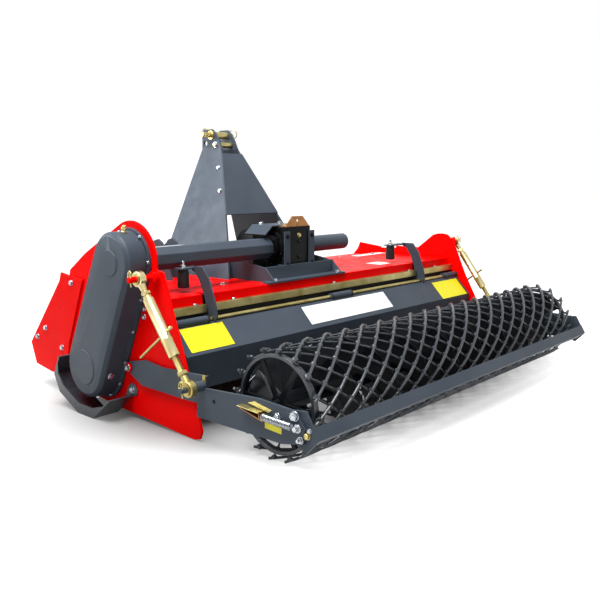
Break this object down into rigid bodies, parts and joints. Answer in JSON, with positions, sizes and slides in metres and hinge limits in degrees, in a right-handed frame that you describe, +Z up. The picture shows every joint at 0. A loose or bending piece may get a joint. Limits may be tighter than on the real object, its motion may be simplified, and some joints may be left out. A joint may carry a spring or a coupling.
{
  "type": "tractor-mounted stone burier",
  "caption": "Tractor-mounted rotary stone burier with side chain case, three-point headstock, rear hood and height-adjustable mesh roller.",
  "frame": {"origin": "middle of the machine's box, on the floor it stands on", "axes": "+X to the right as seen from behind, +Y forward towards the tractor, +Z up"},
  "size_m": [2.235, 1.6805, 1.125],
  "materials": {
    "red_paint": "gloss",
    "grey_paint": "satin",
    "black_paint": "satin",
    "yellow_zinc": "satin",
    "zinc": "satin",
    "rubber": "matte",
    "bare_steel": "brushed"
  },
  "bodies": {
    "root": {"side_plate_left": "red_paint", "side_plate_right": "red_paint", "front_plate_left": "red_paint", "front_plate_right": "red_paint", "skid_left": "grey_paint", "skid_right": "grey_paint", "deck": "red_paint", "front_guard": "red_paint", "sealing_strip": "yellow_zinc", "hinge_rod": "yellow_zinc", "chain_case": "grey_paint", "drive_tube": "grey_paint", "free_side_tube": "grey_paint", "gearbox": "black_paint", "pto_guard": "black_paint", "gearbox_brackets": "grey_paint", "console": "grey_paint", "hose_bracket": "yellow_zinc", "hitch_stay": "grey_paint", "hitch_plate_left": "grey_paint", "hitch_plate_right": "grey_paint", "hitch_rear_cover": "grey_paint", "top_link_pins": "yellow_zinc", "lower_brackets": "grey_paint", "lower_pins": "yellow_zinc", "rotor_bearing": "grey_paint", "selection_grid": "black_paint"},
    "rotor": {"rotor_shaft": "black_paint", "rotor_blades": "black_paint"},
    "pto": {"pto_shaft": "bare_steel"},
    "hood": {"hood": "grey_paint", "hood_buffers": "rubber"},
    "roller_frame": {"roller_arm_left": "grey_paint", "roller_arm_right": "grey_paint", "roller_bearings": "grey_paint", "scraper": "grey_paint", "spring_anchors": "yellow_zinc", "scraper_springs": "zinc"},
    "roller": {"roller_core": "grey_paint", "roller_auger": "black_paint", "mesh_inner": "black_paint", "mesh_outer": "black_paint"},
    "link_tube_left": {"link_tube_left": "yellow_zinc"},
    "link_tube_right": {"link_tube_right": "yellow_zinc"},
    "link_rod_left": {"link_rod_left": "yellow_zinc"},
    "link_rod_right": {"link_rod_right": "yellow_zinc"}
  },
  "joints": [
    {"name": "rotor_spin", "type": "hinge", "parent": "root", "child": "rotor", "pos_m": [0, 0.268, 0.185], "axis": [1, 0, 0], "continuous": true},
    {"name": "pto_spin", "type": "hinge", "parent": "root", "child": "pto", "pos_m": [-0.19, 0.245, 0.598], "axis": [0, 1, 0], "continuous": true},
    {"name": "hood_lift", "type": "hinge", "parent": "root", "child": "hood", "pos_m": [0, -0.119, 0.379], "axis": [1, 0, 0], "range_deg": [-6, 0]},
    {"name": "frame_lift", "type": "hinge", "parent": "root", "child": "roller_frame", "pos_m": [0, 0.083, 0.202], "axis": [1, 0, 0], "range_deg": [-8, 5]},
    {"name": "roller_spin", "type": "hinge", "parent": "roller_frame", "child": "roller", "pos_m": [0, -0.605, 0.186], "axis": [1, 0, 0], "continuous": true},
    {"name": "link_swing_left", "type": "hinge", "parent": "root", "child": "link_tube_left", "pos_m": [-1.078, -0.081, 0.553], "axis": [1, 0, 0], "range_deg": [-4.8, 3.08]},
    {"name": "link_screw_left", "type": "slide", "parent": "link_tube_left", "child": "link_rod_left", "axis": [0, -0.6015, -0.7989], "range_m": [-0.0491, 0.0311]},
    {"name": "link_swing_right", "type": "hinge", "parent": "root", "child": "link_tube_right", "pos_m": [1.045, -0.081, 0.553], "axis": [1, 0, 0], "range_deg": [-4.8, 3.08]},
    {"name": "link_screw_right", "type": "slide", "parent": "link_tube_right", "child": "link_rod_right", "axis": [0, -0.6015, -0.7989], "range_m": [-0.0491, 0.0311]}
  ],
  "couplings": [
    {"joint": "pto_spin", "follows": "rotor_spin", "ratio": 2.5},
    {"joint": "link_swing_left", "follows": "frame_lift", "ratio": 0.5756},
    {"joint": "link_screw_left", "follows": "frame_lift", "m_per_rad": 0.34472},
    {"joint": "link_swing_right", "follows": "frame_lift", "ratio": 0.5756},
    {"joint": "link_screw_right", "follows": "frame_lift", "m_per_rad": 0.34472}
  ]
}
